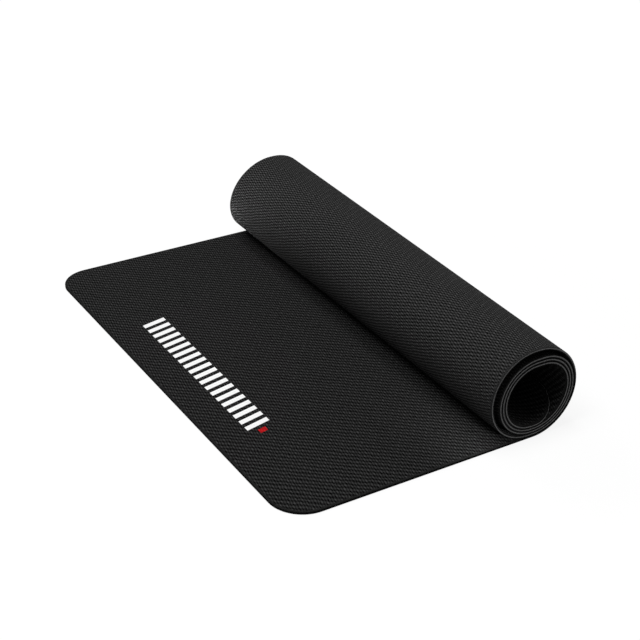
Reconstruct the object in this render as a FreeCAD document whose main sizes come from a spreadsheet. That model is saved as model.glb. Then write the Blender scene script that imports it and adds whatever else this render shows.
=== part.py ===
import FreeCAD, Part
import math
import os

import Sketcher

# Equipment mat for a treadmill, half rolled up: a flat leaf lies on the floor and the rest of the
# sheet is wound into a coil that stands on it. The mat is a laminate of three plies, each one sheet
# from the free edge of the leaf to the inner end of the coil, with rounded corners at both ends.
#
# Frame: X along the mat's length, from the free edge towards the roll, Y across its width, Z up.
# The floor is Z = 0 and the origin is the middle of the footprint. Lengths are millimetres.

SIZES = (
    # The flat sheet
    ("mat_width", "600"),
    ("corner_radius", "40"),
    ("base_thickness", "2"),
    ("scrim_thickness", "0.2"),
    ("wear_thickness", "0.8"),
    # The leaf, from its free edge to the line where the sheet leaves the floor
    ("leaf_length", "309"),
    # The roll: whole turns, height over the floor, and how much wider the outermost turn's upper
    # right arc is than its lower one
    ("turn_count", "4"),
    ("roll_height", "112"),
    ("crown_rise", "3"),
    # Slack under the top of the outermost turn, then between the coil's turns at the top and where
    # the turns rest on one another
    ("loose_gap", "8.6"),
    ("turn_gap", "1"),
    ("rest_gap", "0.5"),
    # Flat stretch on which the outermost turn and each turn of the coil rest
    ("outer_run", "6.4"),
    ("coil_run", "2.4"),
    # How far the inner end climbs past the bottom of the coil, in degrees
    ("inner_end_angle", "66"),
)

# Plies from the floor up: name and thickness
PLIES = (
    ("foam_base", "base_thickness"),
    ("mesh_scrim", "scrim_thickness"),
    ("wear_ply", "wear_thickness"),
)

QUARTER_TURN = 90
HALF_TURN = 180
FULL_TURN = 360
CORNER_STATIONS = 7
GAP_POINTS_PER_TURN = 180


def fill_sheet(sheet, rows):
    """Writes (alias, text) rows down a spreadsheet and names each value by its alias."""
    for row, (alias, text) in enumerate(rows, start=1):
        sheet.set(f"A{row}", alias)
        sheet.set(f"B{row}", text)
        sheet.setAlias(f"B{row}", alias)
    sheet.recompute()


def winding_rows(turns):
    """Formulas of the roll, for the line of the sheet's underside, which is the outside of the roll.

    Turn k leaves its rest height, goes up the right side in two quarter arcs, over a flat run at the
    top, down the left side in a half arc, and along a flat run at the rest height of turn k + 1. The
    lower right arcs share one centre, a foot radius above the floor, so the turns lie evenly there.
    """
    rows = [
        ("thickness", "=" + " + ".join(f"Sizes.{size}" for _, size in PLIES)),
        ("rest_pitch", "=thickness + Sizes.rest_gap"),
        ("top_pitch", "=thickness + Sizes.turn_gap"),
        ("coil_height", "=Sizes.roll_height - thickness - Sizes.loose_gap"),
        ("foot_radius", "=(Sizes.roll_height - Sizes.crown_rise) / 2"),
        ("half_footprint", "=(Sizes.leaf_length + foot_radius) / 2"),
    ]
    for k in range(1, turns + 2):
        rows.append((f"rest_height_{k}", f"={k - 1} * rest_pitch"))
        rows.append((f"lower_radius_{k}", f"=foot_radius - rest_height_{k}"))
    for k in range(1, turns + 1):
        top = "Sizes.roll_height" if k == 1 else f"coil_height - {k - 2} * top_pitch"
        rest = "Sizes.outer_run" if k == 1 else "Sizes.coil_run"
        rows.append((f"top_height_{k}", f"={top}"))
        rows.append((f"upper_radius_{k}", f"=top_height_{k} - foot_radius"))
        rows.append((f"left_radius_{k}", f"=(top_height_{k} - rest_height_{k + 1}) / 2"))
        rows.append((f"rest_run_{k}", f"={rest}"))
        rows.append((f"top_run_{k}", f"=rest_run_{k} + lower_radius_{k} - upper_radius_{k}"))
    return rows


def spine_pieces(turns):
    """The underside line from the free edge inwards, as (size, degrees turned) with 0 for a run."""
    pieces = [("Sizes.leaf_length", 0)]
    for k in range(1, turns + 1):
        pieces.append((f"Winding.lower_radius_{k}", QUARTER_TURN))
        pieces.append((f"Winding.upper_radius_{k}", QUARTER_TURN))
        pieces.append((f"Winding.top_run_{k}", 0))
        pieces.append((f"Winding.left_radius_{k}", HALF_TURN))
        pieces.append((f"Winding.rest_run_{k}", 0))
    pieces.append((f"Winding.lower_radius_{turns + 1}", sizes.inner_end_angle))
    return pieces


def read(name):
    """The number in a cell, given as Sheet.alias."""
    sheet_name, alias = name.split(".")
    return float(getattr(doc.getObject(sheet_name), alias))


def origin_plane(body, role):
    """One of a body's own origin planes."""
    return next(feature for feature in body.Origin.OriginFeatures if feature.Role == role)


def new_sketch(body, name, role):
    """An empty sketch on one of the body's origin planes."""
    sketch = body.newObject("Sketcher::SketchObject", name)
    sketch.AttachmentSupport = [(origin_plane(body, role), "")]
    sketch.MapMode = "FlatFace"
    return sketch


def bind(sketch, index, expression):
    """Ties one dimension of a sketch to the sheets."""
    sketch.setExpression(f"Constraints[{index}]", expression)


def draw_spine(sketch, pieces):
    """Draws the underside line as one tangent chain of runs and arcs that starts at the origin."""
    x, z, heading = 0.0, 0.0, 0.0
    previous = None
    for index, (name, degrees) in enumerate(pieces):
        size = read(name)
        if degrees == 0:
            start = FreeCAD.Vector(x, z, 0)
            x += size * math.cos(math.radians(heading))
            z += size * math.sin(math.radians(heading))
            edge = sketch.addGeometry(Part.LineSegment(start, FreeCAD.Vector(x, z, 0)))
            bind(sketch, sketch.addConstraint(Sketcher.Constraint("Distance", edge, size)), name)
        else:
            first = math.radians(heading - QUARTER_TURN)
            last = first + math.radians(degrees)
            centre = FreeCAD.Vector(x - size * math.cos(first), z - size * math.sin(first), 0)
            circle = Part.Circle(centre, FreeCAD.Vector(0, 0, 1), size)
            edge = sketch.addGeometry(Part.ArcOfCircle(circle, first, last))
            bind(sketch, sketch.addConstraint(Sketcher.Constraint("Radius", edge, size)), name)
            x = centre.x + size * math.cos(last)
            z = centre.y + size * math.sin(last)
            heading += degrees
            if index == len(pieces) - 1:
                sweep = sketch.addConstraint(Sketcher.Constraint("Angle", edge, math.radians(degrees)))
                bind(sketch, sweep, "Sizes.inner_end_angle * 1 deg")
            else:
                square = "Horizontal" if heading % HALF_TURN else "Vertical"
                sketch.addConstraint(Sketcher.Constraint(square, edge, 3, edge, 2))
        if previous is None:
            sketch.addConstraint(Sketcher.Constraint("Coincident", edge, 1, -1, 1))
            sketch.addConstraint(Sketcher.Constraint("Horizontal", edge))
        else:
            sketch.addConstraint(Sketcher.Constraint("Tangent", previous, 2, edge, 1))
        previous = edge


def draw_section(sketch, below, thickness):
    """Draws a ply's cross-section, centred on the width, with the plies in below underneath it."""
    half = sizes.mat_width / 2
    low = sum(read(f"Sizes.{size}") for size in below)
    high = low + read(f"Sizes.{thickness}")
    corners = [
        FreeCAD.Vector(-half, low, 0),
        FreeCAD.Vector(half, low, 0),
        FreeCAD.Vector(half, high, 0),
        FreeCAD.Vector(-half, high, 0),
    ]
    for index, corner in enumerate(corners):
        sketch.addGeometry(Part.LineSegment(corner, corners[(index + 1) % len(corners)]))
    for index in range(len(corners)):
        following = (index + 1) % len(corners)
        sketch.addConstraint(Sketcher.Constraint("Coincident", index, 2, following, 1))
    for index, way in ((1, "Vertical"), (2, "Horizontal"), (3, "Vertical")):
        sketch.addConstraint(Sketcher.Constraint(way, index))
    sketch.addConstraint(Sketcher.Constraint("Symmetric", 0, 1, 0, 2, -2))
    width = sketch.addConstraint(Sketcher.Constraint("DistanceX", 0, 1, 0, 2, 2 * half))
    bind(sketch, width, "Sizes.mat_width")
    height = sketch.addConstraint(Sketcher.Constraint("DistanceY", 1, 1, 1, 2, high - low))
    bind(sketch, height, f"Sizes.{thickness}")
    if below:
        lift = sketch.addConstraint(Sketcher.Constraint("DistanceY", -1, 1, 0, 1, low))
        bind(sketch, lift, " + ".join(f"Sizes.{size}" for size in below))
    else:
        sketch.addConstraint(Sketcher.Constraint("PointOnObject", 0, 1, -1))


def free_edge_corners(shape):
    """Names of the two short upright edges at the free edge of the leaf."""
    names = []
    for index, edge in enumerate(shape.Edges, start=1):
        box = edge.BoundBox
        upright = box.XLength < box.ZLength and box.YLength < box.ZLength
        if upright and abs(box.XMin) < box.ZLength / 2 and box.ZMax < 2 * winding.thickness:
            names.append(f"Edge{index}")
    return names


def wound_sheet(name, below, thickness, pieces):
    """One ply as a sheet that follows the underside line, with the leaf's corners rounded."""
    body = doc.addObject("PartDesign::Body", f"{name}_sheet")
    spine = new_sketch(body, f"{name}_spine", "XZ_Plane")
    draw_spine(spine, pieces)
    section = new_sketch(body, f"{name}_section", "YZ_Plane")
    draw_section(section, below, thickness)
    doc.recompute()
    winding_pipe = body.newObject("PartDesign::AdditivePipe", f"{name}_winding")
    winding_pipe.Profile = section
    winding_pipe.Spine = (spine, [])
    doc.recompute()
    corners = body.newObject("PartDesign::Fillet", f"{name}_corners")
    corners.Base = (winding_pipe, free_edge_corners(winding_pipe.Shape))
    corners.setExpression("Radius", "Sizes.corner_radius")
    doc.recompute()
    return body


def advance(x, z, heading, size, turn, share):
    """Moves a share of the way along one run or arc and returns the new point and heading."""
    if turn == 0:
        return x + share * size * math.cos(heading), z + share * size * math.sin(heading), heading
    end = heading + share * turn
    x += size * (math.sin(end) - math.sin(heading))
    z -= size * (math.cos(end) - math.cos(heading))
    return x, z, end


def sheet_length(name, degrees):
    """Length of one run or arc along the middle of the laminate."""
    size = read(name)
    return (size - winding.thickness / 2) * math.radians(degrees) if degrees else size


def spine_station(pieces, distance):
    """Point and heading, in radians, on the underside line at a sheet length from the inner end."""
    stations = [(0.0, 0.0, 0.0)]
    for name, degrees in pieces:
        stations.append(advance(*stations[-1], read(name), math.radians(degrees), 1.0))
    index = len(pieces) - 1
    while distance > sheet_length(*pieces[index]) and index > 0:
        distance -= sheet_length(*pieces[index])
        index -= 1
    name, degrees = pieces[index]
    share = 1.0 - distance / sheet_length(name, degrees)
    return advance(*stations[index], read(name), math.radians(degrees), share)


def corner_waste(pieces, side):
    """The waste outside the rounded corner of the inner end, on one side of the mat.

    The corner is a quarter circle on the flat sheet. Cross-sections of the waste stand square to the
    sheet at stations along it, and a loft through them wraps that quarter circle round the coil.
    """
    radius = sizes.corner_radius
    spare = winding.thickness
    outside = -sizes.rest_gap / 2
    inside = winding.thickness + spare
    edge = side * sizes.mat_width / 2
    sections = []
    for station in range(CORNER_STATIONS):
        angle = math.radians(QUARTER_TURN) * station / (CORNER_STATIONS - 1)
        depth = radius * (1 - math.cos(angle))
        x, z, heading = spine_station(pieces, radius * (1 - math.sin(angle)))
        inward = FreeCAD.Vector(-math.sin(heading), 0, math.cos(heading))
        across = FreeCAD.Vector(0, side, 0)
        foot = FreeCAD.Vector(x, edge, z)
        ring = [
            foot + inward * outside + across * spare,
            foot + inward * inside + across * spare,
            foot + inward * inside - across * depth,
            foot + inward * outside - across * depth,
        ]
        sections.append(Part.makePolygon(ring + ring[:1]))
    return Part.makeLoft(sections, True, False)


def least_gap(pieces):
    """Least clear distance between neighbouring turns, measured on points a whole turn apart."""
    points = []
    for name, degrees in pieces:
        x, z, heading = points[-1] if points else (0.0, 0.0, 0.0)
        steps = max(1, round(GAP_POINTS_PER_TURN * degrees / FULL_TURN))
        for step in range(1, steps + 1):
            points.append(advance(x, z, heading, read(name), math.radians(degrees), step / steps))
    least = math.inf
    for index, (x, z, heading) in enumerate(points):
        face_x = x - winding.thickness * math.sin(heading)
        face_z = z + winding.thickness * math.cos(heading)
        for later_x, later_z, later_heading in points[index + 1:]:
            if math.pi < later_heading - heading < 3 * math.pi:
                least = min(least, math.hypot(later_x - face_x, later_z - face_z))
    return least


doc = FreeCAD.newDocument("EquipmentMat")
sizes = doc.addObject("Spreadsheet::Sheet", "Sizes")
fill_sheet(sizes, SIZES)
turns = int(sizes.turn_count)
winding = doc.addObject("Spreadsheet::Sheet", "Winding")
fill_sheet(winding, winding_rows(turns))
doc.recompute()

spine = spine_pieces(turns)
waste = doc.addObject("Part::Feature", "inner_corner_waste")
waste.Shape = Part.makeCompound([corner_waste(spine, side) for side in (-1, 1)])

# Each ply is its wound sheet less the waste of the two inner corners
nodes = []
below = []
for name, thickness in PLIES:
    ply = doc.addObject("Part::Cut", name)
    ply.Base = wound_sheet(name, below, thickness, spine)
    ply.Tool = waste
    ply.Label = name
    ply.setExpression("Placement.Base.x", "-Winding.half_footprint")
    nodes.append(ply)
    below.append(thickness)
doc.recompute()

flat_length = sum(sheet_length(name, degrees) for name, degrees in spine)
print(f"flat length {flat_length:.1f} mm, least gap between turns {least_gap(spine):.2f} mm")

for item in doc.Objects:
    if "Invalid" in item.State or "Error" in item.State:
        raise RuntimeError(f"{item.Label} failed: {item.State}")
for node in nodes:
    if node.Shape.isNull() or not node.Shape.isValid() or len(node.Shape.Solids) != 1:
        raise RuntimeError(f"{node.Label} is not one valid solid")

os.makedirs("parts", exist_ok=True)
for node in nodes:
    node.Shape.exportStep(f"parts/{node.Label}.step")
    print(f"{node.Label}: volume {node.Shape.Volume / 1000:.1f} cm3, box {node.Shape.BoundBox}")
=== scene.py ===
"""Looks of a half-rolled treadmill mat: three laminated plies, embossed faces, die-cut edges and a print.

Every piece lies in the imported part's frame, in metres: X along the mat from its free edge towards the
roll, Y across its width, Z up from the floor.
"""

import logging
import math
from abc import ABC, abstractmethod
from dataclasses import dataclass
from enum import Enum
from functools import cached_property
from typing import Optional, Union

import bpy
import numpy as np
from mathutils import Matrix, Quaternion, Vector


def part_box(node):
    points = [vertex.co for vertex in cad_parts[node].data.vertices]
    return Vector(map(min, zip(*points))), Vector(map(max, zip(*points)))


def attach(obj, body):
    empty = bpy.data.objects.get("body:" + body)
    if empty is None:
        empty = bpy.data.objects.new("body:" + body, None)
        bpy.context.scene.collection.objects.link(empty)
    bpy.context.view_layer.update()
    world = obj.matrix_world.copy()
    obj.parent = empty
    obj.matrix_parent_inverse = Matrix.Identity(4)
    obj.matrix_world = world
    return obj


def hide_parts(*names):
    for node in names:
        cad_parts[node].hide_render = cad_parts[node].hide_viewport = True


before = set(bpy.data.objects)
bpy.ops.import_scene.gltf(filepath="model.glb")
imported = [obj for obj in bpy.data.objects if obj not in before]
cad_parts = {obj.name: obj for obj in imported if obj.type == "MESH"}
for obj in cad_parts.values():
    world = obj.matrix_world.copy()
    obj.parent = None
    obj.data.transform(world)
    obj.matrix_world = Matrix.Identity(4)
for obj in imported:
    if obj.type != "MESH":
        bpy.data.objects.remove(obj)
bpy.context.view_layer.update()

LOG = logging.getLogger("treadmill_mat")
PIXELS = 640
BODY = "root"
BASE_PIECE = "foam_base_ply"
SCRIM_PIECE = "mesh_scrim_ply"
WEAR_PIECE = "wear_face_ply"
SHEET_MAP = "sheet"
EDGE_DISTANCE = "edge_distance"
LAMINATE_HEIGHT = "laminate_height"
SQUARE = np.array([(-1, -1), (1, -1), (1, 1), (-1, 1)])
BOX_FACES = np.array([(3, 2, 1, 0), (4, 5, 6, 7), (0, 1, 5, 4), (1, 2, 6, 5), (2, 3, 7, 6), (3, 0, 4, 7)])
FULL_TURN = 2 * math.pi

SCREEN_WHITE = 255.0
SCREEN_TOE = 0.04045
SCREEN_TOE_SLOPE = 12.92
SCREEN_OFFSET = 0.055
SCREEN_POWER = 2.4

Colour = tuple[float, float, float, float]
Socket = bpy.types.NodeSocket
Feed = Union[Socket, float, tuple[float, ...]]
Feeds = dict[str, Feed]


def screen_colour(*levels: int) -> Colour:
    """A colour from its 8-bit screen levels.

    A screen's curve is straight up to its toe, and above it the power of the level plus an offset.

    Args:
        levels: Screen levels of red, green and blue.

    Returns:
        The linear colour that shows at those levels.
    """
    shares = np.array(levels) / SCREEN_WHITE
    curve = ((shares + SCREEN_OFFSET) / (1 + SCREEN_OFFSET)) ** SCREEN_POWER
    linear = np.where(shares <= SCREEN_TOE, shares / SCREEN_TOE_SLOPE, curve)
    return (*(float(value) for value in linear), 1.0)


def grey(level: int) -> Colour:
    """The linear colour that shows as a neutral grey of a screen level."""
    return screen_colour(level, level, level)


class Wall(Enum):
    """Which parts of a ply's skin a finish covers, in the order of its material slots."""

    UNDERSIDE = 0
    CUT = 1
    TOP = 2


@dataclass(frozen=True)
class Winding:
    """The line of the mat's underside, from the free edge of the leaf to the inner end of the coil.

    The line is a chain of straight runs and arcs. Turn k leaves its rest height, climbs the right side
    in two quarter arcs, crosses the top on a flat run, comes down the left side in a half arc and
    reaches the rest height of turn k + 1 on a flat run.
    """

    free_edge_x: float
    width: float
    leaf_length: float
    roll_height: float
    base_thickness: float
    scrim_thickness: float
    wear_thickness: float = 0.0008
    corner_radius: float = 0.040
    turns: int = 4
    crown_rise: float = 0.003
    loose_gap: float = 0.0086
    turn_gap: float = 0.001
    rest_gap: float = 0.0005
    outer_run: float = 0.0064
    coil_run: float = 0.0024
    inner_end: float = math.radians(66)

    @classmethod
    def from_frame(cls) -> "Winding":
        """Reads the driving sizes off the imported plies.

        Returns:
            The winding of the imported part.
        """
        base_low, base_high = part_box("foam_base")
        scrim_low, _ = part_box("mesh_scrim")
        wear_low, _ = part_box("wear_ply")
        roll_height = base_high.z - base_low.z
        return cls(
            free_edge_x=base_low.x,
            width=base_high.y - base_low.y,
            leaf_length=base_high.x - base_low.x - (roll_height - cls.crown_rise) / 2,
            roll_height=roll_height,
            base_thickness=scrim_low.z - base_low.z,
            scrim_thickness=wear_low.z - scrim_low.z,
        )

    @property
    def thickness(self) -> float:
        """Thickness of the whole laminate."""
        return self.base_thickness + self.scrim_thickness + self.wear_thickness

    @cached_property
    def chain(self) -> dict[str, np.ndarray]:
        """The runs and arcs of the line, in order.

        A run steps its size along its heading. An arc of radius r that turns from heading a to b steps
        r (sin b - sin a) along and r (cos a - cos b) up. The sheet's length on an arc is taken along the
        middle of the laminate.

        Returns:
            Arrays of each one's size, turn and sheet length, and of the heading, X, Z and distance along
            the sheet at which it starts.
        """
        turn_number = np.arange(1, self.turns + 1)
        foot_radius = (self.roll_height - self.crown_rise) / 2
        rest_pitch = self.thickness + self.rest_gap
        coil_top = self.roll_height - self.thickness - self.loose_gap
        top = coil_top - (turn_number - 2) * (self.thickness + self.turn_gap)
        top[0] = self.roll_height
        lower = foot_radius - (turn_number - 1) * rest_pitch
        upper = top - foot_radius
        left = (top - turn_number * rest_pitch) / 2
        rest_run = np.where(turn_number == 1, self.outer_run, self.coil_run)
        top_run = rest_run + lower - upper
        tail = foot_radius - self.turns * rest_pitch
        sizes_of_one = np.stack([lower, upper, top_run, left, rest_run], axis=1)
        turns_of_one = np.array([0.5, 0.5, 0.0, 1.0, 0.0]) * math.pi
        size = np.concatenate([[self.leaf_length], sizes_of_one.ravel(), [tail]])
        turn = np.concatenate([[0.0], np.tile(turns_of_one, self.turns), [self.inner_end]])
        straight = turn == 0
        length = np.where(straight, size, (size - self.thickness / 2) * turn)
        heading = np.cumsum(turn) - turn
        turned = heading + turn
        step_x = np.where(straight, size * np.cos(heading), size * (np.sin(turned) - np.sin(heading)))
        step_z = np.where(straight, size * np.sin(heading), size * (np.cos(heading) - np.cos(turned)))
        return {
            "size": size,
            "turn": turn,
            "length": length,
            "heading": heading,
            "x": self.free_edge_x + np.cumsum(step_x) - step_x,
            "z": np.cumsum(step_z) - step_z,
            "start": np.cumsum(length) - length,
        }

    @property
    def sheet_length(self) -> float:
        """Length of the flat sheet, measured along the middle of the laminate."""
        return float(self.chain["length"].sum())

    def stations(self, arc_step: float, run_step: float) -> np.ndarray:
        """Distances along the sheet at which its curve is drawn.

        Args:
            arc_step: Largest turn between neighbouring stations on an arc, in radians.
            run_step: Largest distance between neighbouring stations on a run.

        Returns:
            Rising distances from the free edge, without the two ends of the sheet.
        """
        chain = self.chain
        steps = np.where(chain["turn"] > 0, chain["turn"] / arc_step, chain["length"] / run_step)
        spans = zip(chain["start"], chain["length"], np.maximum(1, np.ceil(steps)).astype(int))
        drawn = [start + length * np.arange(count) / count for start, length, count in spans]
        return np.concatenate(drawn)[1:]

    def place(self, along: np.ndarray, rise: np.ndarray) -> tuple[np.ndarray, np.ndarray]:
        """Puts points of the flat sheet on the wound one.

        The point at a distance along its run or arc is found from where that piece starts. It is then
        moved by its rise, square to the line, towards the inside of the roll.

        Args:
            along: Distance from the free edge along the middle of the laminate.
            rise: Height above the underside within the laminate.

        Returns:
            X and Z of the points.
        """
        chain = self.chain
        last = len(chain["start"]) - 1
        piece = np.clip(np.searchsorted(chain["start"], along, side="right") - 1, 0, last)
        size, turn, first = chain["size"][piece], chain["turn"][piece], chain["heading"][piece]
        share = (along - chain["start"][piece]) / chain["length"][piece]
        heading = first + share * turn
        straight = turn == 0
        x = np.where(straight, share * size * np.cos(first), size * (np.sin(heading) - np.sin(first)))
        z = np.where(straight, share * size * np.sin(first), size * (np.cos(first) - np.cos(heading)))
        x = chain["x"][piece] + x - rise * np.sin(heading)
        z = chain["z"][piece] + z + rise * np.cos(heading)
        return x, z


@dataclass(frozen=True)
class FarSag:
    """How the roll gives way from its near end to its far end: it gets lower and leans over."""

    winding: Winding
    height: float = 0.1058
    top_shift: float = 0.0198

    def settle(self, points: np.ndarray) -> np.ndarray:
        """Moves the points of the wound sheet.

        The share w grows evenly from 0 at the near end to 1 at the far end. Heights above the leaf
        shrink by w towards the far height, and what stands higher leans over in proportion to its
        height.

        Args:
            points: Points as rows of X, Y and Z.

        Returns:
            The moved points.
        """
        winding = self.winding
        span = winding.roll_height - winding.thickness
        share = points[:, 1] / winding.width + 0.5
        above = np.maximum(points[:, 2] - winding.thickness, 0.0) / span
        moved = points.copy()
        moved[:, 0] += share * above * self.top_shift
        moved[:, 2] -= share * above * (winding.roll_height - self.height)
        return moved


@dataclass(frozen=True)
class FlatCut:
    """The mat as it is cut from the flat: a rectangle with rounded corners, drawn as rows and columns."""

    winding: Winding
    corner_steps: int = 18
    arc_step: float = math.radians(3)
    run_step: float = 0.012
    middle_columns: int = 21
    border_columns: tuple[float, ...] = (0.0, 0.0007, 0.0015, 0.003, 0.0045, 0.008, 0.015)

    @cached_property
    def columns(self) -> np.ndarray:
        """Places of the columns, closer together along the two long edges.

        Returns:
            Shares of the half width, rising from -1 to 1.
        """
        half = self.winding.width / 2
        border = 1.0 - np.array(self.border_columns) / half
        middle = np.linspace(-border[-1], border[-1], self.middle_columns)[1:-1]
        return np.concatenate([-border, middle, border[::-1]])

    @cached_property
    def middle_rows(self) -> np.ndarray:
        """Stations between the rounded corners of the two ends.

        Returns:
            Rising distances from the free edge, at least half a corner's step clear of the corners.
        """
        stations = self.winding.stations(self.arc_step, self.run_step)
        radius = self.winding.corner_radius
        spare = radius / self.corner_steps / 2
        inside = (stations > radius + spare) & (stations < self.winding.sheet_length - radius - spare)
        return stations[inside]

    def plate(self, inset: float) -> tuple[np.ndarray, np.ndarray]:
        """Rows and columns of the outline drawn in by an inset.

        In a corner the rows follow the quarter circle: a row at angle a lies at r (1 - cos a) from the
        end and is r (1 - sin a) narrower on each side. Columns share out each row's width.

        Args:
            inset: How far the outline is drawn in.

        Returns:
            Distance from the free edge, and Y, both as arrays of rows by columns.
        """
        radius = self.winding.corner_radius - inset
        half = self.winding.width / 2 - inset
        angle = np.linspace(0.0, math.pi / 2, self.corner_steps)
        from_end = inset + radius * (1 - np.cos(angle))
        corner_half = half - radius * (1 - np.sin(angle))
        length = self.winding.sheet_length
        rows = np.concatenate([from_end, self.middle_rows, length - from_end[::-1]])
        halves = np.concatenate([corner_half, np.full(len(self.middle_rows), half), corner_half[::-1]])
        across = halves[:, None] * self.columns[None, :]
        return np.broadcast_to(rows[:, None], across.shape), across

    def edge_distance(self, along: np.ndarray, across: np.ndarray) -> np.ndarray:
        """Distance of points of the flat sheet to its cut outline.

        Args:
            along: Distance from the free edge.
            across: Distance from the middle of the width.

        Returns:
            The distance inwards from the nearest edge or corner arc.
        """
        radius = self.winding.corner_radius
        half_length = self.winding.sheet_length / 2
        past_length = np.abs(along - half_length) - half_length + radius
        past_width = np.abs(across) - self.winding.width / 2 + radius
        outside = np.hypot(np.maximum(past_length, 0.0), np.maximum(past_width, 0.0))
        return radius - outside - np.minimum(np.maximum(past_length, past_width), 0.0)

    def area(self) -> float:
        """Area of the flat cut: the rectangle less what its four rounded corners take off."""
        rectangle = self.winding.width * self.winding.sheet_length
        return rectangle - (4 - math.pi) * self.winding.corner_radius**2


@dataclass(frozen=True)
class Noise:
    """Plain noise: how many cells it has in a metre, and how many finer layers."""

    scale: float
    detail: float


@dataclass
class NodeBench:
    """Places nodes in one tree, links them and lays them out in rows."""

    tree: bpy.types.NodeTree
    count: int = 0
    nodes_in_row: int = 8
    step_right: int = 220
    step_down: int = 260

    def add(self, kind: str, inputs: Optional[Feeds] = None, **settings: object) -> bpy.types.Node:
        """Adds a node.

        Args:
            kind: Blender's name of the node's type.
            inputs: What to feed, by the name of the input.
            settings: Properties to set on the node.

        Returns:
            The new node.
        """
        node = self.tree.nodes.new(kind)
        row, column = divmod(self.count, self.nodes_in_row)
        node.location = (column * self.step_right, -row * self.step_down)
        self.count += 1
        for name, value in settings.items():
            setattr(node, name, value)
        for name, value in (inputs or {}).items():
            self.feed(node.inputs[name], value)
        return node

    def feed(self, socket: Socket, value: Feed) -> None:
        """Links an output to a socket, or sets the socket's own value.

        Args:
            socket: The input to feed.
            value: An output socket, or a plain value.
        """
        if isinstance(value, bpy.types.NodeSocket):
            self.tree.links.new(value, socket)
        else:
            socket.default_value = value

    def sheet(self) -> Socket:
        """The place on the flat sheet, in metres along and across."""
        return self.add("ShaderNodeUVMap", uv_map=SHEET_MAP).outputs[0]

    def place(self) -> Socket:
        """The place in the part's frame, in metres."""
        return self.add("ShaderNodeTexCoord").outputs["Object"]

    def measure(self, name: str) -> Socket:
        """A measure that the piece carries at its points, by name."""
        return self.add("ShaderNodeAttribute", attribute_name=name).outputs["Fac"]

    def math(self, operation: str, *values: Feed, kind: str = "ShaderNodeMath") -> Socket:
        """A sum, product or other operation on values.

        Args:
            operation: Blender's name of the operation.
            values: What it works on.
            kind: Blender's name of the node's type.

        Returns:
            The result, a plain value.
        """
        node = self.add(kind, operation=operation)
        for socket, value in zip(node.inputs, values):
            self.feed(socket, value)
        return node.outputs["Value"]

    def dot(self, first: Feed, second: Feed) -> Socket:
        """The dot product of two vectors."""
        return self.math("DOT_PRODUCT", first, second, kind="ShaderNodeVectorMath")

    def span(self, value: Feed, low: Feed, high: Feed, out_low: float, out_high: float) -> Socket:
        """A value carried smoothly from one range to another, and held at the ends.

        Args:
            value: The value to carry.
            low: Start of its range.
            high: End of its range.
            out_low: What the start becomes.
            out_high: What the end becomes.

        Returns:
            The carried value.
        """
        ends = {"From Min": low, "From Max": high, "To Min": out_low, "To Max": out_high}
        node = self.add("ShaderNodeMapRange", {"Value": value, **ends}, interpolation_type="SMOOTHSTEP")
        return node.outputs["Result"]

    def noise(self, where: Feed, kind: Noise) -> Socket:
        """Plain noise of a kind, read at a place, as a value from 0 to 1."""
        inputs = {"Vector": where, "Scale": kind.scale, "Detail": kind.detail}
        return self.add("ShaderNodeTexNoise", inputs).outputs[0]

    def mix(self, share: Feed, first: Feed, second: Feed) -> Socket:
        """A colour between two colours.

        Blender's node repeats its sockets for each kind of value, so they are found by what they hold.

        Args:
            share: How far to go from the first to the second, held between 0 and 1.
            first: The colour at 0.
            second: The colour at 1.

        Returns:
            The colour between them.
        """
        node = self.add("ShaderNodeMix", data_type="RGBA")
        ends = [socket for socket in node.inputs if socket.type == "RGBA"]
        for socket, value in zip((node.inputs[0], *ends), (share, first, second)):
            self.feed(socket, value)
        return next(socket for socket in node.outputs if socket.type == "RGBA")

    def group(self, tree: bpy.types.NodeTree, **values: Feed) -> bpy.types.Node:
        """Places a shared effect, with its values by socket name, which has _ for a space."""
        inputs = {name.replace("_", " "): value for name, value in values.items()}
        return self.add("ShaderNodeGroup", inputs, node_tree=tree)

    def coat(self, name: str, value: Feed) -> None:
        """Feeds an input of the material's own shader, by its name."""
        self.feed(self.tree.nodes["Principled BSDF"].inputs[name], value)

    def bump(self, height: Socket, depth: float) -> None:
        """Gives the material relief, from a height that is a share of its depth."""
        node = self.add("ShaderNodeBump", {"Distance": depth, "Height": height})
        self.coat("Normal", node.outputs["Normal"])


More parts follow.
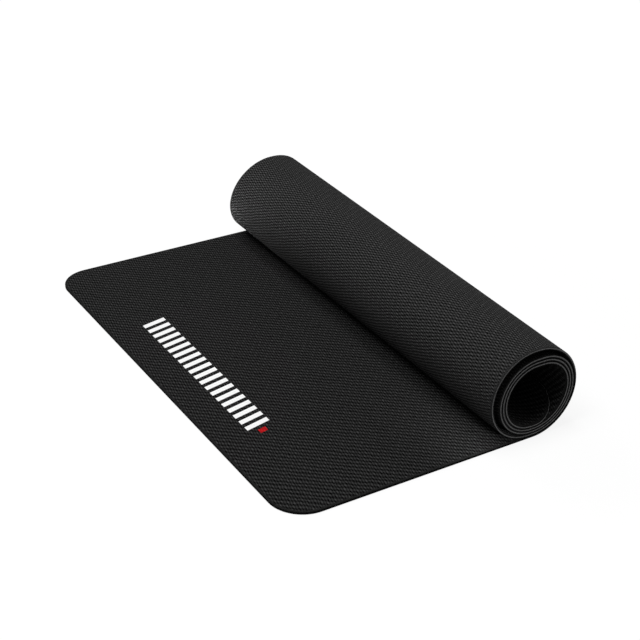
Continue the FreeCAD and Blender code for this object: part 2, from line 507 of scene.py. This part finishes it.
@dataclass
class SharedEffects:
    """Effects that more than one finish uses, each a node group that is built once."""

    level: float = 0.5
    pip_share: float = 0.21
    second_pip_share: float = 0.08
    drift: Noise = Noise(90.0, 2.0)
    drift_reach: float = 0.7
    tooth: Noise = Noise(600.0, 3.0)
    marks: Noise = Noise(9.0, 4.0)
    marks_from: float = 0.35
    marks_full: float = 0.7

    @staticmethod
    def start(
        name: str, inputs: dict[str, str], outputs: tuple[str, ...]
    ) -> tuple[NodeBench, bpy.types.Node, bpy.types.Node]:
        """Makes an empty group with named sockets.

        Args:
            name: Name of the group.
            inputs: Input names and their socket types.
            outputs: Output names, all plain values.

        Returns:
            The group's bench, its input node and its output node.
        """
        tree = bpy.data.node_groups.new(name, "ShaderNodeTree")
        for label, kind in inputs.items():
            tree.interface.new_socket(label, in_out="INPUT", socket_type=kind)
        for label in outputs:
            tree.interface.new_socket(label, in_out="OUTPUT", socket_type="NodeSocketFloat")
        bench = NodeBench(tree)
        return bench, bench.add("NodeGroupInput"), bench.add("NodeGroupOutput")

    @cached_property
    def emboss(self) -> bpy.types.NodeTree:
        """Rolled-in relief: two crossing waves make rows of pips, and the sheet's border stays plain.

        Height is the level plus shares of three cosines: one for each wave, a number of cycles per metre
        of the flat sheet, and one at half their sum, which raises every second pip. A slow drift, a share
        of a cycle, keeps the rows from being ruler straight. Pip is the height squared, which shows
        evenly on a screen.

        Returns:
            The group.
        """
        inputs = {
            "Sheet": "NodeSocketVector",
            "First Wave": "NodeSocketVector",
            "Second Wave": "NodeSocketVector",
            "Border": "NodeSocketFloat",
            "Plain Width": "NodeSocketFloat",
        }
        bench, source, sink = self.start("embossed_relief", inputs, ("Height", "Pip"))
        sheet, plain = source.outputs["Sheet"], source.outputs["Plain Width"]
        drift = bench.math("MULTIPLY", bench.noise(sheet, self.drift), self.drift_reach)
        cycles = [bench.dot(sheet, source.outputs[label]) for label in ("First Wave", "Second Wave")]
        phases = [bench.math("MULTIPLY", bench.math("ADD", cycle, drift), FULL_TURN) for cycle in cycles]
        crossing = bench.math("ADD", *[bench.math("COSINE", phase) for phase in phases])
        half_sum = bench.math("MULTIPLY", bench.math("ADD", *phases), 0.5)
        every_second = bench.math("MULTIPLY", bench.math("COSINE", half_sum), self.second_pip_share)
        relief = bench.math("MULTIPLY_ADD", crossing, self.pip_share, every_second)
        inside = bench.span(source.outputs["Border"], plain, bench.math("ADD", plain, plain), 0.0, 1.0)
        height = bench.math("MULTIPLY_ADD", relief, inside, self.level)
        bench.feed(sink.inputs["Height"], height)
        bench.feed(sink.inputs["Pip"], bench.math("MULTIPLY", height, height))
        return bench.tree

    @cached_property
    def grain(self) -> bpy.types.NodeTree:
        """Fine tooth of the material and the broad handling marks over it, both from noise.

        Returns:
            The group.
        """
        inputs = {"Place": "NodeSocketVector"}
        bench, source, sink = self.start("grain_and_handling", inputs, ("Grain", "Handling"))
        place = source.outputs["Place"]
        marks = bench.span(bench.noise(place, self.marks), self.marks_from, self.marks_full, 0.0, 1.0)
        bench.feed(sink.inputs["Grain"], bench.noise(place, self.tooth))
        bench.feed(sink.inputs["Handling"], marks)
        return bench.tree


@dataclass(frozen=True)
class Finish(ABC):
    """A material, with what every finish sets on the shader's own sockets."""

    name: str
    specular: float = 0.005
    roughness: float = 0.7

    def make(self, effects: SharedEffects) -> bpy.types.Material:
        """Makes the material and paints it.

        Args:
            effects: The shared effects.

        Returns:
            The finished material.
        """
        material = bpy.data.materials.new(self.name)
        material.use_nodes = True
        bench = NodeBench(material.node_tree)
        bench.coat("Specular IOR Level", self.specular)
        bench.coat("Roughness", self.roughness)
        self.paint(bench, effects)
        return material

    @abstractmethod
    def paint(self, bench: NodeBench, effects: SharedEffects) -> None:
        """Feeds the shader what changes over the surface.

        Args:
            bench: The material's bench.
            effects: The shared effects.
        """


@dataclass(frozen=True)
class EmbossedFace(Finish):
    """A face of the mat with its rolled-in rows of pips, and the relief's light and shade painted into its
    colour: pips painted paler, grooves painted darker.

    The steps lead from one pip to its two neighbours on the flat sheet, along and across, in metres.
    """

    first_step: tuple[float, float] = (0.0014, 0.0069)
    second_step: tuple[float, float] = (0.0026, -0.0021)
    # The groove and pip colours paint the relief's shade and light.
    groove_shade: Colour = grey(4)
    pip_light: Colour = grey(68)
    tooth: float = 0.6
    groove_roughness: float = 0.12
    handled_polish: float = 0.08
    relief: float = 0.0005
    tooth_relief: float = 0.06
    plain_border: float = 0.0018

    def rows(self, bench: NodeBench, effects: SharedEffects, border: Feed) -> bpy.types.Node:
        """Places the shared emboss with this face's rows of pips.

        The crests of the two waves meet at every pip, so the waves, in cycles per metre, are the rows of
        the inverse of the matrix whose columns are the steps.

        Args:
            bench: The material's bench.
            effects: The shared effects.
            border: Distance to the outline of the sheet.

        Returns:
            The emboss.
        """
        first, second = np.linalg.inv(np.array([self.first_step, self.second_step]).T)
        return bench.group(
            effects.emboss,
            Sheet=bench.sheet(),
            First_Wave=(*first, 0.0),
            Second_Wave=(*second, 0.0),
            Border=border,
            Plain_Width=self.plain_border,
        )

    def paint(self, bench: NodeBench, effects: SharedEffects) -> None:
        """Colours the pips paler and the grooves darker, painted light and shade of the relief; roughens
        and raises the pips, with a fine tooth and handling marks over them.

        Args:
            bench: The material's bench.
            effects: The shared effects.
        """
        emboss = self.rows(bench, effects, bench.measure(EDGE_DISTANCE)).outputs
        grain = bench.group(effects.grain, Place=bench.place()).outputs
        tooth = bench.math("MULTIPLY_ADD", grain["Grain"], self.tooth, -self.tooth / 2)
        shade = bench.math("ADD", emboss["Pip"], tooth)
        # Painted light and shade of the relief: the pips paler, the grooves darker.
        bench.coat("Base Color", bench.mix(shade, self.groove_shade, self.pip_light))
        in_groove = self.roughness + self.groove_roughness
        matt = bench.span(emboss["Pip"], 0.0, 1.0, in_groove, self.roughness)
        polish = bench.math("MULTIPLY", grain["Handling"], self.handled_polish)
        bench.coat("Roughness", bench.math("SUBTRACT", matt, polish))
        height = bench.math("MULTIPLY_ADD", grain["Grain"], self.tooth_relief, emboss["Height"])
        bench.bump(height, self.relief)


WEAR_FACE = EmbossedFace("embossed_wear_face")


@dataclass(frozen=True)
class CutEdge(Finish):
    """A die-cut edge with open pores, with light and shade painted into its colour.

    The cut shows dark along the leaf, painted shade, and paler along the turns of the roll, painted light.
    Only the middle of the ply's thickness is painted paler; towards its two faces it stays dark, painted
    shade of the gaps between the turns. The painted light fades between two shares of the half thickness,
    and it begins at a distance along the sheet. The middles of the pores are darker, painted shade in them.
    """

    middle: float = 0.001
    half_thickness: float = 0.001
    light_fades: tuple[float, float] = (0.35, 0.9)
    light_begins: tuple[float, float] = (0.39, 0.425)
    # Colours: painted shade in the pores, painted shade of the cut, painted light of the cut.
    dark: Colour = grey(6)
    shaded_cut: Colour = grey(24)
    lit_cut: Colour = grey(150)
    pore: float = 0.00035
    pore_wall: tuple[float, float] = (0.15, 0.6)
    wall_shade: float = 0.7
    grain_shade: float = 0.4

    def paint(self, bench: NodeBench, effects: SharedEffects) -> None:
        """Colours the cut by its painted light and shade, its pores and its grain, and sinks the pores
        by half their size.

        Args:
            bench: The material's bench.
            effects: The shared effects.
        """
        off_middle = bench.math("SUBTRACT", bench.measure(LAMINATE_HEIGHT), self.middle)
        fades = [share * self.half_thickness for share in self.light_fades]
        core = bench.span(bench.math("ABSOLUTE", off_middle), *fades, 1.0, 0.0)
        along = bench.dot(bench.sheet(), (1.0, 0.0, 0.0))
        # Painted light: the middle of the ply's cut is paler along the turns of the roll. The leaf's cut
        # and the faces of each ply keep the painted shade.
        lit_share = bench.math("MULTIPLY", core, bench.span(along, *self.light_begins, 0.0, 1.0))
        place = bench.place()
        pores = {"Vector": place, "Scale": 1.0 / self.pore}
        cells = bench.add("ShaderNodeTexVoronoi", pores, feature="F1")
        wall = bench.span(cells.outputs["Distance"], *self.pore_wall, 0.0, 1.0)
        grain = bench.group(effects.grain, Place=place).outputs["Grain"]
        wall_shade = bench.math("MULTIPLY", wall, self.wall_shade)
        shade = bench.math("MULTIPLY_ADD", grain, self.grain_shade, wall_shade)
        surface = bench.mix(lit_share, self.shaded_cut, self.lit_cut)
        # The middles of the pores take the dark colour: painted shade in the pores.
        bench.coat("Base Color", bench.mix(shade, self.dark, surface))
        bench.bump(wall, self.pore / 2)


@dataclass(frozen=True)
class ScrimWeave(Finish):
    """Open mesh of polyester yarn, seen as rows of yarn ends along the cut."""

    roughness: float = 0.9
    yarn: Colour = grey(50)
    between: Colour = grey(12)
    yarn_pitch: float = 0.0012
    yarn_edge: tuple[float, float] = (0.2, 0.8)
    yarn_shade: float = 0.6
    fuzz_shade: float = 0.5
    relief: float = 0.00015

    def paint(self, bench: NodeBench, effects: SharedEffects) -> None:
        """Draws the yarns as the crests of a wave along the sheet and one across it, with fuzz over them.

        Args:
            bench: The material's bench.
            effects: The shared effects.
        """
        sheet = bench.sheet()
        wave = FULL_TURN / self.yarn_pitch
        phases = [bench.dot(sheet, direction) for direction in ((wave, 0.0, 0.0), (0.0, wave, 0.0))]
        crests = bench.math("MAXIMUM", *[bench.math("COSINE", phase) for phase in phases])
        yarn = bench.span(crests, *self.yarn_edge, 0.0, 1.0)
        grain = bench.group(effects.grain, Place=bench.place()).outputs["Grain"]
        yarn_shade = bench.math("MULTIPLY", yarn, self.yarn_shade)
        shade = bench.math("MULTIPLY_ADD", grain, self.fuzz_shade, yarn_shade)
        bench.coat("Base Color", bench.mix(shade, self.between, self.yarn))
        bench.bump(yarn, self.relief)


@dataclass(frozen=True)
class PrintInk(Finish):
    """Screen-print ink over the pips: a full colour, thinner in the grooves, which it fills by half.

    The print lies well inside the outline of the sheet, so one distance to it holds all over.
    """

    roughness: float = 0.55
    ink: Colour = grey(254)
    thin: Colour = grey(242)
    grain_cover: float = 0.3
    under: EmbossedFace = WEAR_FACE
    outline_distance: float = 1.0

    def paint(self, bench: NodeBench, effects: SharedEffects) -> None:
        """Colours the ink by how thick it lies on the pips, and keeps half of their relief.

        Args:
            bench: The material's bench.
            effects: The shared effects.
        """
        emboss = self.under.rows(bench, effects, self.outline_distance).outputs
        grain = bench.group(effects.grain, Place=bench.place()).outputs["Grain"]
        cover = bench.math("MULTIPLY_ADD", grain, self.grain_cover, emboss["Pip"])
        bench.coat("Base Color", bench.mix(cover, self.thin, self.ink))
        bench.bump(emboss["Height"], self.under.relief / 2)


def boundary_loop(grid: np.ndarray) -> np.ndarray:
    """The outer entries of a grid, once round: first row, last column, last row, first column."""
    return np.concatenate([grid[0, :-1], grid[:-1, -1], grid[-1, :0:-1], grid[:0:-1, 0]])


def grid_quads(grid: np.ndarray) -> np.ndarray:
    """Quads of a grid of indices, facing the side from which rows then columns turn anticlockwise."""
    corners = [grid[:-1, :-1], grid[1:, :-1], grid[1:, 1:], grid[:-1, 1:]]
    return np.stack(corners, axis=-1).reshape(-1, len(corners))


def new_piece(
    name: str, points: np.ndarray, faces: np.ndarray, finish_of: np.ndarray, smooth: bool = True
) -> bpy.types.Object:
    """Puts a mesh of quads into the scene as one piece.

    Args:
        name: Name of the piece.
        points: Points as rows of X, Y and Z.
        faces: Four point indices for each quad.
        finish_of: Material slot of each quad.
        smooth: Whether light runs smoothly over the edges between quads.

    Returns:
        The new object, at the origin.
    """
    mesh = bpy.data.meshes.new(name)
    mesh.vertices.add(len(points))
    mesh.vertices.foreach_set("co", points.astype(np.float32).ravel())
    mesh.loops.add(faces.size)
    mesh.loops.foreach_set("vertex_index", faces.astype(np.int32).ravel())
    mesh.polygons.add(len(faces))
    mesh.polygons.foreach_set("loop_start", np.arange(0, faces.size, faces.shape[1], dtype=np.int32))
    mesh.polygons.foreach_set("material_index", finish_of.astype(np.int32))
    mesh.polygons.foreach_set("use_smooth", np.full(len(faces), smooth))
    mesh.update(calc_edges=True)
    mesh.validate()
    piece = bpy.data.objects.new(name, mesh)
    bpy.context.scene.collection.objects.link(piece)
    return piece


def map_sheet(piece: bpy.types.Object, faces: np.ndarray, along: np.ndarray, across: np.ndarray) -> None:
    """Gives a piece the flat sheet's own map, in metres along and across.

    Args:
        piece: The piece to map.
        faces: Its quads.
        along: Each point's distance from the free edge.
        across: Each point's distance from the middle of the width.
    """
    layer = piece.data.uv_layers.new(name=SHEET_MAP)
    flat = np.stack([along, across], axis=1).astype(np.float32)
    layer.data.foreach_set("uv", flat[faces.ravel()].ravel())


@dataclass(frozen=True)
class Ply:
    """One ply of the laminate as a closed sheet that follows the winding.

    The profile lists how the cut edge runs from the ply's underside to its top, as pairs of how far it
    is drawn in from the outline and how high it lies in the laminate.
    """

    name: str
    node: str
    slot: str
    winding: Winding
    profile: tuple[tuple[float, float], ...]
    finishes: dict[Wall, Finish]

    @cached_property
    def cut(self) -> FlatCut:
        """The ply as it is cut from the flat."""
        return FlatCut(self.winding)

    @staticmethod
    def skin(quads: np.ndarray, loop: np.ndarray, starts: np.ndarray) -> tuple[np.ndarray, np.ndarray]:
        """Joins a ply's layers of points to one closed skin.

        The first and last layers are whole plates, and each layer between them is the loop round one.
        Quads join each loop to the next.

        Args:
            quads: The quads of a plate.
            loop: Indices of a plate's outer points, once round.
            starts: Index of the first point of each layer.

        Returns:
            Four point indices for each quad, and the wall that it belongs to.
        """
        between = [np.arange(len(loop)) + start for start in starts[1:-1]]
        rings = [loop + starts[0], *between, loop + starts[-1]]
        cut = [
            np.stack([low, high, np.roll(high, -1), np.roll(low, -1)], axis=1)
            for low, high in zip(rings[:-1], rings[1:])
        ]
        faces = np.concatenate([quads[:, ::-1], *cut, quads + starts[-1]])
        counts = {Wall.UNDERSIDE: len(quads), Wall.CUT: len(loop) * len(cut), Wall.TOP: len(quads)}
        return faces, np.repeat([wall.value for wall in counts], list(counts.values()))

    def build(self) -> bpy.types.Object:
        """Builds the mesh: two plates of rows by columns, and a cut edge through the profile's outlines.

        Returns:
            The piece, with the sheet's map and measures at its points.
        """
        plates = [self.cut.plate(inset) for inset, _ in self.profile]
        shape = plates[0][0].shape
        grid = np.arange(math.prod(shape)).reshape(shape)
        loop = boundary_loop(grid)
        layers = [grid.ravel(), *[loop] * (len(plates) - 2), grid.ravel()]
        along, across = (
            np.concatenate([plate[side].ravel()[layer] for plate, layer in zip(plates, layers)])
            for side in (0, 1)
        )
        counts = np.array([len(layer) for layer in layers])
        rise = np.repeat([height for _, height in self.profile], counts)
        faces, wall_of = self.skin(grid_quads(grid), loop, np.cumsum(counts) - counts)
        x, z = self.winding.place(along, rise)
        points = FarSag(self.winding).settle(np.stack([x, across, z], axis=1))
        piece = new_piece(self.name, points, faces, wall_of)
        map_sheet(piece, faces, along, across)
        measures = {EDGE_DISTANCE: self.cut.edge_distance(along, across), LAMINATE_HEIGHT: rise}
        for name, values in measures.items():
            attribute = piece.data.attributes.new(name, "FLOAT", "POINT")
            attribute.data.foreach_set("value", values.astype(np.float32))
        return piece

    def dress(self, piece: bpy.types.Object, effects: SharedEffects) -> None:
        """Gives the piece its finishes, in the order of its walls, hangs it on the mat's body and hides the
        imported ply.

        Args:
            piece: The ply's piece.
            effects: The shared effects.
        """
        for wall in Wall:
            piece.data.materials.append(self.finishes[wall].make(effects))
        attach(piece, BODY)
        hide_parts(self.node)
        flat = (self.winding.width, self.winding.sheet_length)
        self.cut.area()


@dataclass(frozen=True)
class Laminate:
    """The mat's three plies, laid on one another along one winding.

    The lower edge of the base and the upper edge of the wear face are rounded. Each round is given by its
    radius and by how far its middle is drawn in. The cut of the base is drawn in at half its height too.
    """

    winding: Winding
    base_round: float = 0.0004
    base_round_middle: float = 0.00012
    base_waist: float = 0.00012
    wear_round: float = 0.0003
    wear_round_middle: float = 0.0001

    @property
    def scrim_top(self) -> float:
        """Height of the mesh's top in the laminate."""
        return self.winding.base_thickness + self.winding.scrim_thickness

    def base(self) -> Ply:
        """The foam base, embossed on its underside.

        Returns:
            The lowest ply.
        """
        top = self.winding.base_thickness
        cut = CutEdge("foam_cut", middle=top / 2, half_thickness=top / 2)
        # The underside is the roll's outside; its pips are paler than the wear face's, painted light on the
        # roll.
        underside = EmbossedFace(
            "embossed_underside",
            first_step=(-0.0014, 0.0060),
            second_step=(-0.0018, -0.0041),
            pip_light=grey(82),
        )
        profile = (
            (self.base_round, 0.0),
            (self.base_round_middle, self.base_round_middle),
            (0.0, self.base_round),
            (self.base_waist, top / 2),
            (0.0, top),
        )
        finishes = {Wall.UNDERSIDE: underside, Wall.CUT: cut, Wall.TOP: cut}
        return Ply(BASE_PIECE, "foam_base", "foam_base", self.winding, profile, finishes)

    def scrim(self) -> Ply:
        """The woven mesh, sealed in between the two others.

        Returns:
            The middle ply.
        """
        profile = ((0.0, self.winding.base_thickness), (0.0, self.scrim_top))
        finishes = dict.fromkeys(Wall, ScrimWeave("scrim_weave"))
        return Ply(SCRIM_PIECE, "mesh_scrim", "scrim_mesh", self.winding, profile, finishes)

    def wear(self) -> Ply:
        """The wear face, embossed on top.

        Returns:
            The highest ply.
        """
        top = self.winding.thickness
        half = self.winding.wear_thickness / 2
        cut = CutEdge(
            "wear_cut",
            middle=top - half,
            half_thickness=half,
            dark=grey(4),
            lit_cut=grey(24),
            pore=0.0002,
        )
        profile = (
            (0.0, self.scrim_top),
            (0.0, top - self.wear_round),
            (self.wear_round_middle, top - self.wear_round_middle),
            (self.wear_round, top),
        )
        finishes = {Wall.UNDERSIDE: cut, Wall.CUT: cut, Wall.TOP: WEAR_FACE}
        return Ply(WEAR_PIECE, "wear_ply", "wear_face", self.winding, profile, finishes)


@dataclass(frozen=True)
class HatchedLine:
    """A hatched line printed across the leaf: a row of slanted white bars, closed by a short red one."""

    winding: Winding
    middle_along: float = 0.0588
    middle_across: float = -0.009
    bar_count: int = 21
    bar_pitch: float = 0.0136
    bar_width: float = 0.0072
    bar_reach: float = 0.031
    slant: float = math.radians(12)
    red_reach: float = 0.010
    ink_height: float = 0.00006
    inks: tuple[PrintInk, PrintInk] = (
        PrintInk("white_ink"),
        PrintInk("red_ink", ink=screen_colour(200, 32, 36), thin=screen_colour(140, 20, 24)),
    )

    def bars(self) -> tuple[np.ndarray, np.ndarray]:
        """The bars on the flat sheet, a pitch apart from the far one to the red one, which is last.

        Returns:
            Each bar's middle, along and across, and half its reach.
        """
        number = self.bar_count // 2 - np.arange(self.bar_count)
        along = np.full(self.bar_count, self.middle_along)
        across = self.middle_across + number * self.bar_pitch
        half = np.full(self.bar_count, self.bar_reach / 2)
        half[-1] = self.red_reach / 2
        return np.stack([along, across], axis=1), half

    def build(self) -> bpy.types.Object:
        """Builds the bars as one mesh: a thin slanted box for each, from inside the face to the ink's top.

        A corner lies half a reach along and half a width across from its bar's middle, and is moved
        across by its distance along times the tangent of the slant.

        Returns:
            The piece, mapped to the sheet.
        """
        middles, halves = self.bars()
        reach = SQUARE[None, :, 0] * halves[:, None]
        width = SQUARE[None, :, 1] * self.bar_width / 2
        flat = np.stack([reach, width + reach * math.tan(self.slant)], axis=-1) + middles[:, None, :]
        flat = np.concatenate([flat, flat], axis=1)
        bar, corners = np.arange(self.bar_count), flat.shape[1]
        top = self.winding.thickness
        heights = np.repeat([top - self.ink_height, top + self.ink_height], len(SQUARE))
        along, across = flat[..., 0].ravel(), flat[..., 1].ravel()
        x = self.winding.free_edge_x + along
        points = np.stack([x, across, np.tile(heights, self.bar_count)], axis=1)
        faces = (BOX_FACES[None] + corners * bar[:, None, None]).reshape(-1, BOX_FACES.shape[1])
        red = np.repeat(bar == bar[-1], len(BOX_FACES))
        piece = new_piece("hatched_line_print", points, faces, red, smooth=False)
        map_sheet(piece, faces, along, across)
        return piece

    def dress(self, piece: bpy.types.Object, effects: SharedEffects) -> None:
        """Inks the bars and lets them ride with the mat.

        Args:
            piece: The line's piece.
            effects: The shared effects.
        """
        for ink in self.inks:
            piece.data.materials.append(ink.make(effects))
        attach(piece, BODY)


@dataclass(frozen=True)
class Softbox:
    """A soft lamp that lights all pieces, or one alone, placed by where it stands and what it points at."""

    name: str
    stands: tuple[float, float, float]
    aims: tuple[float, float, float]
    size: float
    power: float
    spread: float = math.pi
    lit_piece: str = ""

    def build(self) -> None:
        """Adds the lamp, hidden from the camera."""
        data = bpy.data.lights.new(self.name, "AREA")
        data.shape = "DISK"
        data.size = self.size
        data.energy = self.power
        data.spread = self.spread
        lamp = bpy.data.objects.new(self.name, data)
        lamp.location = self.stands
        aim = Vector(self.aims) - Vector(self.stands)
        lamp.rotation_euler = aim.to_track_quat("-Z", "Y").to_euler()
        lamp.visible_camera = False
        bpy.context.scene.collection.objects.link(lamp)
        if self.lit_piece:
            receivers = bpy.data.collections.new(self.name)
            receivers.objects.link(bpy.data.objects[self.lit_piece])
            lamp.light_linking.receiver_collection = receivers


@dataclass(frozen=True)
class Studio:
    """White floor and surround, soft lamps, and the camera of the photograph."""

    floor_size: float = 14.0
    floor_drop: float = 0.0002
    floor_glow: float = 1.02
    floor_shown: Colour = grey(250)
    floor_bounce: Colour = grey(180)
    shadow_share: float = 0.14
    shadow_reach: tuple[float, float] = (0.42, 0.62)
    surround_colour: Colour = grey(255)
    dome: float = 0.17
    focal_pixels: float = 1456.2
    azimuth: float = math.radians(-31.88)
    elevation: float = math.radians(29.40)
    tilt: float = math.radians(1.146)
    distance: float = 1.8102
    target: tuple[float, float, float] = (0.0608, 0.0372, 0.0)
    sensor: float = 36.0
    lamps: tuple[Softbox, ...] = (
        Softbox("top_softbox", stands=(0.0, 0.0, 2.2), aims=(0.0, 0.0, 0.0), size=0.7, power=14.0),
        Softbox("left_softbox", stands=(-1.0, -0.3, 2.0), aims=(0.0, 0.0, 0.0), size=1.0, power=25.0),
        Softbox("far_softbox", stands=(-0.2, 1.7, 1.3), aims=(0.05, 0.1, 0.05), size=1.0, power=8.6),
        Softbox("back_softbox", stands=(1.7, 0.25, 0.62), aims=(0.12, 0.0, 0.06), size=1.0, power=4.8),
        Softbox(
            "far_end_lamp", stands=(-0.24, 0.50, 0.06), aims=(0.045, 0.29, 0.045), size=0.05, power=0.052,
            spread=math.radians(34), lit_piece=BASE_PIECE,
        ),
        Softbox(
            "far_rim_lamp", stands=(0.040, 0.296, 0.027), aims=(0.090, 0.296, 0.027), size=0.012,
            power=0.019, lit_piece=BASE_PIECE,
        ),
        Softbox(
            "near_end_lamp", stands=(0.03, -0.60, 0.16), aims=(0.06, -0.285, 0.0), size=0.05, power=0.026,
            spread=math.radians(20), lit_piece=WEAR_PIECE,
        ),
    )

    @staticmethod
    def seen_directly(bench: NodeBench) -> Socket:
        """Tells the rays that show a surface from those that only light the mat.

        Args:
            bench: The bench of the surface's nodes.

        Returns:
            1 for camera, glossy and transmission rays, and 0 for the others.
        """
        rays = bench.add("ShaderNodeLightPath").outputs
        mirrored = bench.math("MAXIMUM", rays["Is Glossy Ray"], rays["Is Transmission Ray"])
        return bench.math("MAXIMUM", rays["Is Camera Ray"], mirrored)

    def surround(self) -> None:
        """Sets a white surround, full white where it is seen and the dome's level where it lights."""
        world = bpy.data.worlds.new("white_surround")
        world.use_nodes = True
        bpy.context.scene.world = world
        bench = NodeBench(world.node_tree)
        background = world.node_tree.nodes["Background"]
        background.inputs["Color"].default_value = self.surround_colour
        seen = self.seen_directly(bench)
        bench.feed(background.inputs["Strength"], bench.span(seen, 0.0, 1.0, self.dome, 1.0))

    def floor_paint(self) -> bpy.types.Material:
        """White paint that glows as the background where it is seen.

        Within its reach of the middle, the glow leaves a share to plain paint, which shows the mat's
        shadow. The light that the paint throws back onto the mat has a darker colour of its own.

        Returns:
            The floor's material.
        """
        material = bpy.data.materials.new("white_floor")
        material.use_nodes = True
        nodes = material.node_tree.nodes
        nodes.remove(nodes["Principled BSDF"])
        bench = NodeBench(material.node_tree)
        bounced = bench.add("ShaderNodeLightPath").outputs["Is Diffuse Ray"]
        colour = bench.mix(bounced, self.floor_shown, self.floor_bounce)
        paint = bench.add("ShaderNodeBsdfDiffuse", {"Color": colour})
        glow = bench.add("ShaderNodeEmission", {"Strength": self.floor_glow})
        place = bench.place()
        away = bench.math("SQRT", bench.dot(place, place))
        plain = bench.span(away, *self.shadow_reach, 1.0 - self.shadow_share, 1.0)
        shown = bench.math("MULTIPLY", self.seen_directly(bench), plain)
        both = bench.add("ShaderNodeMixShader")
        for socket, source in zip(both.inputs, (shown, paint.outputs[0], glow.outputs[0])):
            bench.feed(socket, source)
        bench.feed(nodes["Material Output"].inputs["Surface"], both.outputs[0])
        return material

    def floor(self) -> None:
        """Adds the floor, a square just below the mat."""
        corners = SQUARE * self.floor_size / 2
        points = np.column_stack([corners, np.full(len(corners), -self.floor_drop)])
        floor = new_piece("floor", points, np.arange(len(corners))[None], np.zeros(1))
        floor.data.materials.append(self.floor_paint())

    def camera(self) -> None:
        """Adds the camera, on the line from its target that the azimuth and elevation give."""
        data = bpy.data.cameras.new("camera")
        data.sensor_width = self.sensor
        data.lens = self.sensor * self.focal_pixels / PIXELS
        camera = bpy.data.objects.new("camera", data)
        level = math.cos(self.elevation)
        right, ahead = math.sin(self.azimuth) * level, math.cos(self.azimuth) * level
        back = Vector((right, -ahead, math.sin(self.elevation)))
        camera.location = Vector(self.target) + back * self.distance
        tilt = Quaternion((0.0, 0.0, 1.0), self.tilt)
        camera.rotation_euler = (back.to_track_quat("Z", "Y") @ tilt).to_euler()
        bpy.context.scene.collection.objects.link(camera)
        bpy.context.scene.camera = camera

    def build(self) -> None:
        """Sets the whole studio up."""
        bpy.context.scene.view_settings.view_transform = "Standard"
        self.surround()
        self.floor()
        for lamp in self.lamps:
            lamp.build()
        self.camera()


def main() -> None:
    """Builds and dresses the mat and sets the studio."""
    logging.basicConfig(level=logging.INFO, format="%(name)s: %(message)s")
    winding = Winding.from_frame()
    LOG.info("flat sheet %.4f by %.4f m", winding.width, winding.sheet_length)
    effects = SharedEffects()
    laminate = Laminate(winding)
    for part in (laminate.base(), laminate.scrim(), laminate.wear(), HatchedLine(winding)):
        piece = part.build()
        part.dress(piece, effects)
        LOG.info("%s: %d quads", piece.name, len(piece.data.polygons))
    Studio().build()


if __name__ == "__main__":
    main()
